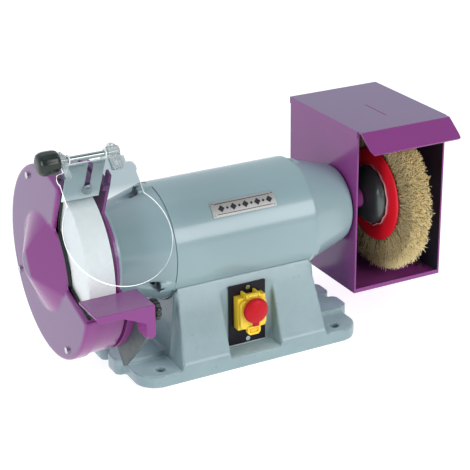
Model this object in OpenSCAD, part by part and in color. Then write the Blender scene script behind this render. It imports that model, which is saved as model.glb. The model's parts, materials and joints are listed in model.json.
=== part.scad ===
// Bench grinder: grinding wheel on the left, guarded wire brush on the right.
// X runs along the spindle, -Y is the user's side, Z is up.
// The origin is the centre of the foot's underside.

/* [Base] */
// Height of the spindle axis above the bench
axis_h = 185; // [180:1:200]
// Distance between bolt holes along the spindle
bolt_dx = 300; // [290:1:310]
// Distance between bolt holes front to back
bolt_dy = 180; // [174:1:184]
// Diameter of the bench bolt holes
bolt_d = 14; // [10:1:16]
// Length of the foot across its end lobes
foot_l = 404; // [396:1:412]
// Depth of the foot, front to back
foot_w = 226; // [220:1:232]
// Height of the foot's middle
foot_h = 26; // [22:1:30]
// Height of the foot's corner pads
pad_h = 19; // [14:1:20]

/* [Motor] */
// Outer diameter of the motor housing
motor_d = 177.6; // [174:0.2:182]
// Length of the motor housing
motor_l = 232; // [220:1:240]

/* [Grinding wheel] */
// Diameter of the grinding wheel
wheel_d = 250; // [200:1:250]
// Width of the grinding wheel
wheel_w = 40; // [32:1:40]
// Middle of the grinding wheel along the spindle
wheel_x = -250; // [-250:1:-248]
// Lower edge of the guard's opening, degrees above the front
open_a0 = -16; // [-20:1:-10]
// Upper edge of the guard's opening, degrees above the front
open_a1 = 66; // [60:1:70]

/* [Wire brush] */
// Diameter of the wire brush
brush_d = 250; // [200:1:250]
// Width of the wire brush at its rim
brush_w = 38; // [25:1:42]
// Middle of the wire brush along the spindle
brush_x = 290; // [286:1:294]

/* [Brush guard] */
// Width of the brush guard
box_w = 164; // [160:1:170]
// Sheet thickness of the guards
sheet = 3; // [2:0.5:3]

/* [Eye shield] */
// Angle between the shield and the vertical
shield_tilt = 45; // [40:1:50]
// Radius of the shield's round lower part
shield_r = 76; // [70:1:80]

/* [Hidden] */
$fn = 96;

// Colours
c_body = [0.60, 0.70, 0.73];
c_paint = [0.55, 0.33, 0.56];
c_dark = [0.22, 0.26, 0.26];
c_steel = [0.75, 0.76, 0.78];
c_black = [0.07, 0.07, 0.07];
c_yellow = [0.95, 0.78, 0.10];
c_red = [0.85, 0.10, 0.12];

// Motor
motor_r = motor_d / 2;
motor_x = motor_l / 2;
motor_bore = 85;
tie_r = 81;                 // radius of the through bolts' circle
tie_angles = [90, 210, 330];
bell_x = 200;               // outer end of both end bells' cones
spigot_r = 84.9;
bell_flange_r = 80;
bell_flange_x = -206;
brg_x0 = 168;               // inner face of each bearing
brg_w = 16;
brg_r = 31;
shaft_brg_r = 15;
ball_r = 4.55;
ball_pitch_r = 23;
race_gap = 0.05;

// Pedestal: its front slopes from a wide bottom to the motor's saddle
ped_y0 = foot_w / 2;
ped_y1 = 67;
ped_z0 = 23;
ped_z1 = 153;
ped_x0 = 123;
ped_x1 = 111.5;

// Guard round the grinding wheel
rim_r = wheel_d / 2;
drum_r = rim_r + 16;
cover_r = drum_r + 4;
cover_x = -283;
cover_wrap = 20;
hub_r = 61;                 // middle of the cover that stays in the opening
boss_x = -308;
boss_y = 16;
boss_dz = -3.5;
boss_base_r = 76;
boss_tip_r = 19;
facet_a = 28;               // slope of the cone's flat front
facet_x = -278;             // a point on that front, at facet_r from the spindle
facet_r = 46;
hub_lip_x = -278.5;         // the flat front's inner edge, clear of the wheel
drum_x0 = cover_x + 6;
drum_x1 = -222;
wall_x0 = -217;
wall_x1 = bell_flange_x;
wall_web = 5;
wall_hub_r = 86;
arr_a = 64;                 // angle of the spark arrester's plane
arr_bolt_r = 148;
guard_bolt_r = 70;
guard_bolt_angles = [20, 110, 200, 290];
cover_screw_r = 129.5;
cover_screw_angles = [116, 205, 299];
bracket_screw_r = 126;
bracket_screw_angles = [-38, -60];

// Switch
sw_wall_y = -80;
sw_plate_t = 3;
sw_front = sw_wall_y - sw_plate_t;
sw_z0 = 54;
sw_z1 = 106;
sw_half = 23.5;
lid_y = sw_front - 14.5;
lid_t = 5.5;
lid_pin = [-99.5, 108];
stop_z = 88;
start_z = 68;
button_r = 7;
slide_gap = 0.08;

// Eye shield: its rod lies along X above the wheel
rod_y = -92;
rod_z = axis_h + 186;
rod_r = 4;
rod_x0 = -318;
rod_x1 = -204;
shield_x = -245;

// Tool rest
rest_top = 177;
rest_x0 = -288;
rest_x1 = -200;
rest_back = -128;
rest_front = -189;
clamp_y = -163;
clamp_z = 157;
leg_x0 = -213.5;
leg_x1 = -206.3;
bracket_x0 = -206;
bracket_x1 = -199.5;

// Brush guard
box_x0 = 203;
box_x1 = box_x0 + box_w - 1.5;
box_y0 = -63.5;
box_y1 = 140;
box_z0 = 50.4;
box_z1 = 321;
box_bolt_r = 50;
box_bolt_angles = [-22, 68, 158, 248];

// A point on a circle about the spindle, in degrees above the front
function at(r, a) = [-r * cos(a), axis_h + r * sin(a)];

// Turned solid about the spindle from [radius, x] points
module turned(pts) {
    translate([0, 0, axis_h]) rotate([0, 90, 0]) rotate_extrude() polygon(pts);
}

// The same, swept only from angle a0 to angle a1 above the front
module turned_arc(pts, a0, a1) {
    translate([0, 0, axis_h]) rotate([0, 90, 0])
        rotate_extrude(angle = a1 - a0, start = -90 - a1) polygon(pts);
}

// Round bar along X from x0 to x1 at (y, z)
module bar_x(r, x0, x1, y, z) {
    translate([x0, y, z]) rotate([0, 90, 0]) cylinder(r = r, h = x1 - x0);
}

// Hexagonal bar along X
module hex_x(af, x0, x1, y, z) {
    translate([x0, y, z]) rotate([0, 90, 0])
        cylinder(r = af / sqrt(3), h = x1 - x0, $fn = 6);
}

// Bar round the spindle's own axis
module spin_bar(r, x0, x1) {
    bar_x(r, x0, x1, 0, axis_h);
}

// Ring round the spindle's own axis
module spin_ring(ro, ri, x0, x1) {
    turned([[ri, x0], [ro, x0], [ro, x1], [ri, x1]]);
}

// Round bar along Y from y0 to y1 at (x, z)
module bar_y(r, y0, y1, x, z) {
    translate([x, y1, z]) rotate([90, 0, 0]) cylinder(r = r, h = y1 - y0);
}

// Flat outline drawn in (Y, Z), from x0 to x1
module slab_x(x0, x1) {
    translate([x0, 0, 0]) rotate([90, 0, 90]) linear_extrude(x1 - x0) children();
}

// Flat outline drawn in (X, Z), from y0 to y1
module slab_y(y0, y1) {
    translate([0, y1, 0]) rotate([90, 0, 0]) linear_extrude(y1 - y0) children();
}

module box(x0, x1, y0, y1, z0, z1) {
    translate([x0, y0, z0]) cube([x1 - x0, y1 - y0, z1 - z0]);
}

// Rectangle with round corners, centred
module round_rect(lx, ly, r) {
    square([lx - 2 * r, ly], center = true);
    square([lx, ly - 2 * r], center = true);
    for (sx = [-1, 1], sy = [-1, 1])
        translate([sx * (lx / 2 - r), sy * (ly / 2 - r)]) circle(r);
}

// Wedge about the spindle in (Y, Z), from angle a0 to a1
module wedge(r, a0, a1) {
    polygon(concat([[0, axis_h]], [for (i = [0:8]) at(r, a0 + (a1 - a0) * i / 8)]));
}

// ---------- base ----------

module foot_outline() {
    round_rect(376, foot_w, 36);
    for (sx = [-1, 1], sy = [-1, 1])
        translate([sx * (foot_l / 2 - 25), sy * 27]) round_rect(50, 40, 11);
}

module pedestal_solid() {
    intersection() {
        slab_x(-ped_x0, ped_x0)
            polygon([[-ped_y0, 0], [ped_y0, 0], [ped_y0, ped_z0], [ped_y1, ped_z1],
                     [-ped_y1, ped_z1], [-ped_y0, ped_z0]]);
        slab_y(-ped_y0, ped_y0)
            polygon([[-ped_x0, 0], [ped_x0, 0], [ped_x0, ped_z0], [ped_x1, ped_z1],
                     [-ped_x1, ped_z1], [-ped_x0, ped_z0]]);
    }
}

module pedestal_cavity() {
    difference() {
        intersection() {
            slab_x(-104, 104)
                polygon([[-103, -1], [103, -1], [98, 20], [70, 88], [-70, 88], [-98, 20]]);
            box(-104, 104, -110, 110, -1, 88);
        }
        box(-50, 50, -115, sw_wall_y + 7, -2, 90);
    }
}

module base_casting() {
    color(c_body) difference() {
        union() {
            difference() {
                linear_extrude(foot_h) foot_outline();
                for (sx = [-1, 1], sy = [-1, 1])
                    translate([sx * 160, sy * 83, pad_h + 10])
                        cube([74, 62, 20], center = true);
            }
            pedestal_solid();
            for (sx = [-1, 1], sy = [-1, 1])
                translate([sx * 122, sy * 72, foot_h - 2]) rotate([0, -sx * 5, 0])
                    cylinder(r = 5, h = 104);
            bar_y(15, 70, 108, 60, 52);
        }
        spin_bar(motor_r + 0.02, -motor_x - 20, motor_x + 20);
        box(-43, 43, -130, sw_wall_y, 20, 150);
        pedestal_cavity();
        box(-25, 25, sw_wall_y - 1, sw_wall_y + 12, 40, 106);
        box(-110, 110, -104, 104, -1, 3);
        bar_y(8, 60, 120, 60, 52);
        for (sx = [-1, 1], sy = [-1, 1])
            translate([sx * bolt_dx / 2, sy * bolt_dy / 2, -1])
                cylinder(d = bolt_d, h = foot_h + 2);
        for (sx = [-1, 1]) translate([sx * 85, 0, 80]) cylinder(r = 4.2, h = 40);
    }
}

module base_cover_plate() {
    color(c_steel) difference() {
        box(-109, 109, -103, 103, 1, 3);
        for (sx = [-1, 1], sy = [-1, 1])
            translate([sx * 106, sy * 60, 0]) cylinder(r = 2.2, h = 4);
    }
}

module base_cover_screws() {
    color(c_steel) for (sx = [-1, 1], sy = [-1, 1])
        translate([sx * 106, sy * 60, 0.2]) {
            cylinder(r = 3, h = 0.8);
            cylinder(r = 2, h = 2.8);
        }
}

// ---------- motor ----------

module motor_housing() {
    color(c_body) difference() {
        spin_bar(motor_r, -motor_x, motor_x);
        spin_bar(motor_bore, -motor_x - 1, motor_x + 1);
        for (sx = [-1, 1]) translate([sx * 85, 0, 90]) cylinder(r = 4, h = 30);
    }
}

module tie_bars(r, x0, x1) {
    for (a = tie_angles) bar_x(r, x0, x1, at(tie_r, a)[0], at(tie_r, a)[1]);
}

module left_end_bell() {
    color(c_body) difference() {
        union() {
            turned([[spigot_r, -motor_x + 6], [spigot_r, -motor_x], [motor_r - 0.8, -motor_x],
                    [motor_r - 1.5, -motor_x - 4], [66, -196], [66, -bell_x],
                    [bell_flange_r, -bell_x], [bell_flange_r, bell_flange_x],
                    [22, bell_flange_x], [22, -190], [60, -190], [80, -motor_x - 6],
                    [79, -motor_x], [79, -motor_x + 6]]);
            intersection() {
                tie_bars(11.5, -141, -motor_x);
                spin_bar(motor_r + 1, -141, -motor_x);
            }
            spin_ring(46, brg_r, -191, -164);
        }
        tie_bars(8.5, -230, -134);
        tie_bars(3.3, -140, -100);
        for (a = guard_bolt_angles)
            bar_x(3.2, -220, -190, at(guard_bolt_r, a)[0], at(guard_bolt_r, a)[1]);
    }
}

module right_end_bell() {
    color(c_body) difference() {
        union() {
            turned([[spigot_r, motor_x - 6], [spigot_r, motor_x], [motor_r - 2.5, motor_x],
                    [motor_r - 3.2, motor_x + 5], [62, 194], [60, 199], [56, 202],
                    [52, box_x0], [22, box_x0], [22, 190], [54, 190], [80, motor_x + 6],
                    [79, motor_x], [79, motor_x - 6]]);
            spin_ring(46, brg_r, 164, 191);
            intersection() {
                tie_bars(10, motor_x, motor_x + 16);
                spin_bar(spigot_r, motor_x, motor_x + 16);
            }
        }
        tie_bars(3, motor_x - 8, motor_x + 10);
        for (a = box_bolt_angles)
            bar_x(3, 192, 210, at(box_bolt_r, a)[0], at(box_bolt_r, a)[1]);
    }
}

module through_bolts() {
    color(c_steel) {
        tie_bars(3, -134, motor_x + 8);
        for (a = tie_angles) hex_x(10, -140, -134, at(tie_r, a)[0], at(tie_r, a)[1]);
    }
}

module housing_bolts() {
    color(c_steel) for (sx = [-1, 1]) {
        translate([sx * 85, 0, 88]) cylinder(r = 4, h = 12);
        translate([sx * 85, 0, 82.5]) cylinder(r = 13 / sqrt(3), h = 5.5, $fn = 6);
    }
}

module stator_core() {
    color(c_steel) difference() {
        spin_ring(motor_bore, 50, -55, 55);
        tie_bars(4.5, -60, 60);
        for (i = [0:23]) bar_x(3, -60, 60, at(55, 15 * i)[0], at(55, 15 * i)[1]);
    }
}

module stator_windings() {
    color([0.72, 0.36, 0.14]) for (s = [-1, 1])
        turned([[52, s * 55.2], [66, s * 55.2], [68, s * 62], [66, s * 82], [58, s * 86],
                [52, s * 82]]);
}

// Both bearings' outer races, a groove in each for the balls
module bearing_outer_races() {
    color(c_steel) for (s = [-1, 1])
        spin_ring(brg_r, ball_pitch_r + ball_r + race_gap, s * brg_x0, s * (brg_x0 + brg_w));
}

module bearing_inner_races() {
    color(c_steel) for (s = [-1, 1]) {
        spin_ring(ball_pitch_r - ball_r + 0.3, shaft_brg_r, s * brg_x0, s * (brg_x0 + brg_w));
        for (i = [0:7])
            translate([s * (brg_x0 + brg_w / 2), at(ball_pitch_r, 45 * i)[0],
                       at(ball_pitch_r, 45 * i)[1]]) sphere(ball_r, $fn = 48);
    }
}

module name_plate() {
    color(c_steel)
        turned_arc([[motor_r, -50], [motor_r + 1, -50], [motor_r + 1, 56], [motor_r, 56]],
                   33, 48.5);
}

module name_plate_rivets() {
    color(c_steel) for (x = [-46.5, 52.5], a = [35, 46.5])
        translate([x, at(motor_r + 1, a)[0], at(motor_r + 1, a)[1]])
            rotate([90 - a, 0, 0]) cylinder(r = 1.3, h = 0.8);
}

// ---------- spindle ----------

module spindle_shaft() {
    wheel_end = -291;
    brush_end = 346;
    color(c_steel)
        turned([[0, wheel_end], [9, wheel_end], [10, wheel_end + 1], [10, -279],
                [12.5, -279], [12.5, -217],
                [shaft_brg_r, -217], [shaft_brg_r, -brg_x0], [17.5, -brg_x0], [17.5, -56],
                [20, -56], [20, 56], [17.5, 56], [17.5, brg_x0], [shaft_brg_r, brg_x0],
                [shaft_brg_r, 204], [10, 204], [10, brush_end - 1], [9, brush_end],
                [0, brush_end]]);
}

module rotor_core() {
    color([0.45, 0.46, 0.48]) spin_ring(49.4, 20, -55, 55);
}

module rotor_end_rings() {
    color(c_steel) for (s = [-1, 1]) {
        spin_ring(48, 30, s * 55, s * 66);
        for (i = [0:5])
            bar_x(3, s > 0 ? 65.5 : -74, s > 0 ? 74 : -65.5, at(39, 60 * i)[0], at(39, 60 * i)[1]);
    }
}

module cooling_fan() {
    color(c_black) {
        spin_ring(28, 17.5, 92, 108);
        spin_ring(62, 27.5, 105.5, 108);
        for (i = [0:7])
            translate([0, 0, axis_h]) rotate([45 * i, 0, 0]) box(92, 106, -1.5, 1.5, 27, 60);
    }
}

module grinding_wheel() {
    x0 = wheel_x - wheel_w / 2;
    x1 = wheel_x + wheel_w / 2;
    color([0.93, 0.94, 0.94])
        turned([[16, x0], [rim_r - 1, x0], [rim_r, x0 + 1], [rim_r, x1 - 1], [rim_r - 1, x1],
                [16, x1]]);
}

module wheel_blotters() {
    color([0.85, 0.80, 0.62]) for (s = [-1, 1])
        spin_ring(50, 16.2, wheel_x + s * wheel_w / 2, wheel_x + s * (wheel_w / 2 + 0.8));
}

module wheel_inner_flange() {
    x1 = wheel_x + wheel_w / 2;
    color(c_steel)
        turned([[12.5, x1 - 24], [15.9, x1 - 24], [15.9, x1 + 0.8], [30, x1 + 2],
                [36, x1 + 2], [36, x1 + 0.8], [46, x1 + 0.8], [46, x1 + 6], [30, x1 + 12],
                [12.5, x1 + 12]]);
}

module wheel_outer_flange() {
    x0 = wheel_x - wheel_w / 2;
    color(c_steel)
        turned([[12.5, x0 - 9], [28, x0 - 9], [40, x0 - 4.5], [43, x0 - 4.5], [43, x0 - 0.8],
                [36, x0 - 0.8], [36, x0 - 2], [12.5, x0 - 2]]);
}

module wheel_nut() {
    color(c_steel) difference() {
        hex_x(30, wheel_x - wheel_w / 2 - 18.5, wheel_x - wheel_w / 2 - 9, 0, axis_h);
        spin_bar(10, -310, -260);
    }
}

module brush_bristles() {
    r = brush_d / 2;
    h = brush_w / 2;
    color([0.76, 0.66, 0.40])
        turned([[30, brush_x - 13], [74, brush_x - 15], [r - 4, brush_x - h], [r, brush_x - h + 5],
                [r, brush_x + h - 5], [r - 4, brush_x + h], [74, brush_x + 15],
                [30, brush_x + 13]]);
}

// Pressed side rings that grip the wires
module brush_rings() {
    color(c_red) for (s = [-1, 1]) turned([
        [40, brush_x + s * 18], [52, brush_x + s * 18], [56, brush_x + s * 21],
        [70, brush_x + s * 20], [75, brush_x + s * 15.5], [75, brush_x + s * 15.05],
        [74, brush_x + s * 15], [30, brush_x + s * 13], [30, brush_x + s * 16],
        [40, brush_x + s * 16]]);
}

// Domed cup washers that clamp the brush
module brush_cups() {
    color(c_dark) for (s = [-1, 1]) turned([
        [10, brush_x + s * 18.2], [30, brush_x + s * 18.2], [46, brush_x + s * 21.5],
        [49, brush_x + s * 21.5], [48, brush_x + s * 26], [42, brush_x + s * 33],
        [30, brush_x + s * 38], [18, brush_x + s * 41], [10, brush_x + s * 41]]);
}

module brush_nut() {
    color(c_steel) difference() {
        hex_x(30, brush_x + 41, brush_x + 54, 0, axis_h);
        spin_bar(10, brush_x + 30, brush_x + 70);
    }
}

// ---------- grinding wheel guard ----------

module drum_boss(a) {
    bar_x(10, cover_x + sheet, cover_x + 2 * sheet + 2, at(cover_screw_r, a)[0], at(cover_screw_r, a)[1]);
}

module guard_drum() {
    color(c_paint) difference() {
        union() {
            turned_arc([[drum_r - sheet, drum_x0], [drum_r, drum_x0], [drum_r, drum_x1],
                        [drum_r - 7, drum_x1], [drum_r - 7, wall_x0], [drum_r - 10, wall_x0],
                        [drum_r - 10, drum_x1 - sheet], [drum_r - sheet, drum_x1 - sheet]],
                       open_a1 + 2, 358 + open_a0);
            for (a = cover_screw_angles) drum_boss(a);
            arrester_frame() translate([-272, -sheet, drum_r - 4]) cube([46, sheet, 26]);
            arrester_frame() translate([-272, -sheet, drum_r - sheet]) cube([46, 16, sheet]);
        }
        for (a = cover_screw_angles)
            bar_x(2.5, -300, -270, at(cover_screw_r, a)[0], at(cover_screw_r, a)[1]);
        arrester_frame() bar_y(4, -20, 20, shield_x + 1, arr_bolt_r);
    }
}

module inner_wall_outline() {
    difference() {
        translate([0, axis_h]) circle(drum_r + 1);
        difference() {
            wedge(300, open_a0, arr_a - 1);
            translate([0, axis_h]) circle(wall_hub_r);
        }
        translate([0, axis_h]) circle(30);
    }
}

module guard_inner_wall() {
    color(c_paint) difference() {
        union() {
            slab_x(wall_x1 - wall_web, wall_x1) inner_wall_outline();
            slab_x(wall_x0, wall_x1) difference() {
                inner_wall_outline();
                translate([0, axis_h]) circle(drum_r - 9);
            }
            arrester_frame() translate([wall_x1 - 4, 0, 125]) cube([4, 12, 35]);
        }
        for (a = guard_bolt_angles) bar_x(3.2, -220, -200, at(guard_bolt_r, a)[0], at(guard_bolt_r, a)[1]);
        for (a = bracket_screw_angles) bar_x(2.5, -220, -200, at(bracket_screw_r, a)[0], at(bracket_screw_r, a)[1]);
    }
}

// Moves a shape into the flat facet's frame: Y runs up the facet, X into the cover
module facet_frame() {
    translate([facet_x, 0, axis_h]) rotate([-(open_a0 + open_a1) / 2, 0, 0])
        translate([0, -facet_r, 0]) rotate([0, 0, facet_a]) children();
}

// The cone over the spindle's end; inset makes its hollow
module cover_cone(inset, x) {
    translate([x, boss_y, axis_h + boss_dz]) rotate([0, -90, 0])
        cylinder(r1 = boss_base_r - inset, r2 = boss_tip_r - inset, h = x - boss_x - inset);
}

// Everything outside the flat facet, moved into the cover by inset
module facet_space(inset) {
    facet_frame() translate([inset - 60, -60, -100]) cube([60, 160, 200]);
}

module guard_outer_cover() {
    color(c_paint) difference() {
        union() {
            difference() {
                union() {
                    turned([[0, cover_x], [cover_r - sheet, cover_x], [cover_r, cover_x + sheet],
                            [cover_r, cover_x + cover_wrap],
                            [cover_r - sheet, cover_x + cover_wrap],
                            [cover_r - sheet, cover_x + sheet], [0, cover_x + sheet]]);
                    cover_cone(0, cover_x + 1);
                }
                slab_x(boss_x - 5, cover_x + cover_wrap + 1) difference() {
                    wedge(260, open_a0, open_a1);
                    translate([0, axis_h]) circle(hub_r);
                }
                intersection() {
                    facet_space(0);
                    union() {
                        spin_bar(90, boss_x - 5, cover_x);
                        spin_bar(hub_r + 3, cover_x - 1, cover_x + sheet + 1);
                    }
                }
            }
            intersection() {
                facet_frame() translate([0, -20, -62]) cube([sheet, 36, 124]);
                spin_bar(hub_r + 3.6, cover_x + 0.4, hub_lip_x);
            }
        }
        difference() {
            cover_cone(sheet, cover_x + sheet + 1);
            facet_space(sheet);
        }
        for (a = cover_screw_angles)
            bar_x(2.7, -300, -270, at(cover_screw_r, a)[0], at(cover_screw_r, a)[1]);
    }
}

module cover_screws() {
    color(c_steel) for (a = cover_screw_angles) {
        bar_x(5, cover_x - 3, cover_x, at(cover_screw_r, a)[0], at(cover_screw_r, a)[1]);
        bar_x(2.5, cover_x - 1, cover_x + 10, at(cover_screw_r, a)[0], at(cover_screw_r, a)[1]);
    }
}

module guard_bolts() {
    color(c_steel) for (a = guard_bolt_angles) {
        hex_x(10, wall_x1 - wall_web - 4, wall_x1 - wall_web, at(guard_bolt_r, a)[0], at(guard_bolt_r, a)[1]);
        bar_x(3, wall_x1 - wall_web - 1, -199, at(guard_bolt_r, a)[0], at(guard_bolt_r, a)[1]);
    }
}

// Moves a shape drawn upright, with Z as its distance from the spindle,
// to the plane of the spark arrester; its -Y side faces the user
module arrester_frame() {
    translate([0, 0, axis_h]) rotate([90 - arr_a, 0, 0]) children();
}

module spark_arrester() {
    y0 = -sheet - 0.3 - 2;
    color([0.72, 0.76, 0.74]) arrester_frame() difference() {
        union() {
            translate([-279, y0, 129]) cube([56, 2, 66]);
            for (x = [-279, -225]) {
                translate([x, y0, 190]) cube([2, 13, 12]);
                translate([x, 0, 0]) rod_in_frame(7, 2);
            }
            translate([-279, y0, 193]) cube([56, 8, 2]);
        }
        translate([shield_x + 1, 0, 0]) slot_y(4.3, y0 - 1, 137, 196);
        translate([-285, 0, 0]) rod_in_frame(rod_r, 100);
    }
}

// Bar along X at the shield rod's place, inside the arrester's frame
module rod_in_frame(r, h) {
    rod_rr = norm([rod_y, rod_z - axis_h]);
    rod_da = atan2(rod_z - axis_h, -rod_y) - arr_a;
    translate([0, rod_rr * sin(rod_da), rod_rr * cos(rod_da)]) rotate([0, 90, 0])
        cylinder(r = r, h = h);
}

// Slot along Z cut through Y, between z0 and z1
module slot_y(r, y0, z0, z1) {
    bar_y(r, y0, y0 + 20, 0, z0 + r);
    bar_y(r, y0, y0 + 20, 0, z1 - r);
    translate([-r, y0, z0 + r]) cube([2 * r, 20, z1 - z0 - 2 * r]);
}

module arrester_bolt() {
    front = -sheet - 2.6;
    color(c_steel) arrester_frame() {
        bar_y(3.5, front - 1, 6, shield_x + 1, arr_bolt_r);
        bar_y(8, front - 1.4, front, shield_x + 1, arr_bolt_r);
        translate([shield_x + 1, front - 1.4, arr_bolt_r]) rotate([90, 0, 0])
            cylinder(r = 11 / sqrt(3), h = 5.5, $fn = 6);
        translate([shield_x + 1, 5.5, arr_bolt_r]) rotate([90, 0, 0])
            cylinder(r = 11 / sqrt(3), h = 5.5, $fn = 6);
    }
}

// ---------- eye shield ----------

module shield_rod() {
    color(c_steel) bar_x(rod_r, rod_x0, rod_x1, rod_y, rod_z);
}

// Moves a shape drawn in (X, -Z) below the rod into the tilted shield's plane
module shield_frame() {
    translate([0, rod_y, rod_z]) rotate([-shield_tilt, 0, 0]) children();
}

module shield_outline() {
    translate([shield_x, -119]) circle(shield_r);
    translate([shield_x - 56, -110]) square([112, 90]);
    translate([shield_x - 46, -40]) square([92, 32]);
    translate([shield_x, -28.5]) round_rect(116, 20, 9);
}

module eye_shield() {
    color([0.80, 0.88, 0.90, 0.4]) shield_frame() difference() {
        translate([0, 1.5, 0]) rotate([90, 0, 0]) linear_extrude(3) shield_outline();
        for (x = [-286.5, -212.5]) bar_y(2.5, -5, 5, x, -17);
    }
}

module shield_clips() {
    color([0.85, 0.90, 0.92, 0.6]) shield_frame() for (x = [-291, -221])
        difference() {
            union() {
                bar_x(7.9, x, x + (x < -250 ? 9 : 17), 0, 0);
                translate([x, -4.5, -26]) cube([x < -250 ? 9 : 17, 3, 22]);
                translate([x, 1.5, -26]) cube([x < -250 ? 9 : 17, 3, 22]);
                bar_y(2.5, -4, 4, x < -250 ? -286.5 : -212.5, -17);
            }
            bar_x(rod_r + 0.05, x - 1, x + 20, 0, 0);
        }
}

module shield_knob() {
    color(c_black) difference() {
        union() {
            bar_x(17, -320, -294, rod_y, rod_z);
            bar_x(14.5, -323, -291.3, rod_y, rod_z);
        }
        bar_x(rod_r + 0.05, -318.5, -290, rod_y, rod_z);
    }
}

// ---------- tool rest ----------

// Its 2D shape is drawn along the bracket's own radius, 46 degrees below the front
module rest_bracket() {
    color(c_dark) difference() {
        intersection() {
            slab_x(bracket_x0, bracket_x1) translate([0, axis_h]) rotate(226)
                translate([108, -106]) square([58, 150]);
            box(-230, -190, -178, 0, 20, 165);
        }
        for (a = bracket_screw_angles) bar_x(2.7, -220, -190, at(bracket_screw_r, a)[0], at(bracket_screw_r, a)[1]);
        bar_x(4.1, -220, -190, clamp_y, clamp_z);
    }
}

module bracket_screws() {
    color(c_steel) for (a = bracket_screw_angles) {
        bar_x(2.5, -212, bracket_x1 + 1, at(bracket_screw_r, a)[0], at(bracket_screw_r, a)[1]);
        bar_x(5, bracket_x1, bracket_x1 + 3.5, at(bracket_screw_r, a)[0], at(bracket_screw_r, a)[1]);
    }
}

module tool_rest() {
    color(c_paint) difference() {
        union() {
            // table, its underside tapering towards the back
            slab_x(rest_x0, rest_x1)
                polygon([[rest_back, rest_top], [rest_back, rest_top - 6],
                         [rest_front + 8, rest_top - 10], [rest_front, rest_top - 11],
                         [rest_front, rest_top]]);
            // front apron with a gusset down to the leg
            slab_y(rest_front, rest_front + 7)
                polygon([[rest_x0 + 4, rest_top - 9], [-247, rest_top - 11], [-213, 151],
                         [-213, 131], [-209, 127], [-204, 127], [rest_x1, 131],
                         [rest_x1, rest_top - 9]]);
            // side leg that the clamp grips
            slab_x(leg_x0, leg_x1)
                polygon([[rest_front, 131], [rest_front + 4, 127], [-160, 127], [-146.5, 148],
                         [-134, 150], [-134, rest_top - 5], [rest_front, rest_top - 5]]);
        }
        translate([0, 0, clamp_z]) {
            bar_x(4.3, -220, -200, clamp_y - 2, 0);
            bar_x(4.3, -220, -200, clamp_y + 20, 0);
            box(-220, -200, clamp_y - 2, clamp_y + 20, -4.3, 4.3);
        }
        // sloping left end
        translate([rest_x0, rest_front - 1, rest_top - 11])
            slab_y(0, 80) polygon([[-1, -1], [7, -1], [-1, 9]]);
    }
}

module rest_clamp_bolt() {
    color(c_steel) {
        bar_x(4, -216, -186, clamp_y, clamp_z);
        bar_x(8, -218, leg_x0 - 0.4, clamp_y, clamp_z);
    }
}

module rest_knob() {
    color(c_black) difference() {
        union() {
            bar_x(10, bracket_x1 + 0.3, -192, clamp_y, clamp_z);
            bar_x(15, -195.5, -184, clamp_y, clamp_z);
            for (i = [0:7])
                bar_x(3.5, -195.5, -184, clamp_y + 13 * cos(45 * i), clamp_z + 13 * sin(45 * i));
        }
        bar_x(4.05, -201, -185.5, clamp_y, clamp_z);
    }
}

// ---------- brush guard ----------

module brush_box() {
    top = box_z1 - sheet;
    color(c_paint) difference() {
        union() {
            box(box_x0, box_x0 + sheet, box_y0, box_y1, box_z0, top);
            box(box_x1 - sheet, box_x1, box_y0, box_y1, box_z0, top);
            box(box_x0, box_x1, box_y1 - sheet, box_y1, box_z0, top);
            box(box_x0, box_x1, box_y0, box_y1, box_z0, box_z0 + sheet);
            box(box_x0, box_x1, box_y0, box_y0 + 2, box_z0, box_z0 + 7);
        }
        spin_bar(24, 195, 210);
        for (a = box_bolt_angles)
            bar_x(3.2, 195, 210, at(box_bolt_r, a)[0], at(box_bolt_r, a)[1]);
        for (x = [box_x0 + 14, box_x1 - 14]) translate([x, -30, 40]) cylinder(r = 2.1, h = 20);
    }
}

module brush_box_top() {
    bend = [-73, box_z1];
    color(c_paint) difference() {
        union() {
            box(box_x0, box_x1, bend[0], box_y1, box_z1 - sheet, box_z1);
            for (x = [box_x0 - 1.5, box_x1])
                box(x, x + 1.5, box_y0, box_y1, box_z1 - 11, box_z1);
            intersection() {
                slab_x(box_x0, box_x1)
                    polygon([bend, [-107, box_z1 - 25], [-105.4, box_z1 - 27.4],
                             [bend[0] + 1, box_z1 - sheet]]);
                slab_y(-112, -60) translate([(box_x0 + box_x1) / 2, box_z1 - 8.5])
                    round_rect(box_x1 - box_x0, 40, 9);
            }
        }
        box(282, 285, -18, 42, box_z1 - 0.8, box_z1 + 1);
    }
}

module brush_box_screws() {
    color(c_steel) for (x = [box_x0 + 14, box_x1 - 14]) translate([x, -30, box_z0]) {
        translate([0, 0, sheet]) cylinder(r = 4, h = 2.5);
        translate([0, 0, -3]) cylinder(r = 2, h = 8);
    }
}

module brush_box_bolts() {
    color(c_steel) for (a = box_bolt_angles) {
        hex_x(10, box_x0 + sheet, box_x0 + sheet + 4.5, at(box_bolt_r, a)[0], at(box_bolt_r, a)[1]);
        bar_x(3, 193, box_x0 + sheet + 1, at(box_bolt_r, a)[0], at(box_bolt_r, a)[1]);
    }
}

module brush_sleeve() {
    color(c_paint) {
        spin_ring(17, 11.5, box_x0 + sheet, brush_x - 44);
        spin_ring(30, 11.5, box_x0 + sheet, box_x0 + sheet + 4);
    }
}

// ---------- switch and wiring ----------

module switch_plate() {
    color(c_black) difference() {
        box(-31, 31, sw_front, sw_wall_y, 24, 122);
        for (z = [31, 116]) bar_y(2.2, sw_front - 1, sw_wall_y + 1, 0, z);
        box(-19, 19, sw_front - 1, sw_wall_y + 1, 58, 99);
    }
}

module switch_body() {
    color(c_black) {
        box(-23, 23, sw_wall_y, sw_wall_y + 38, 44, 86);
        box(-18.8, 18.8, sw_front, sw_wall_y + 6, 58.2, 98.8);
    }
}

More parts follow.
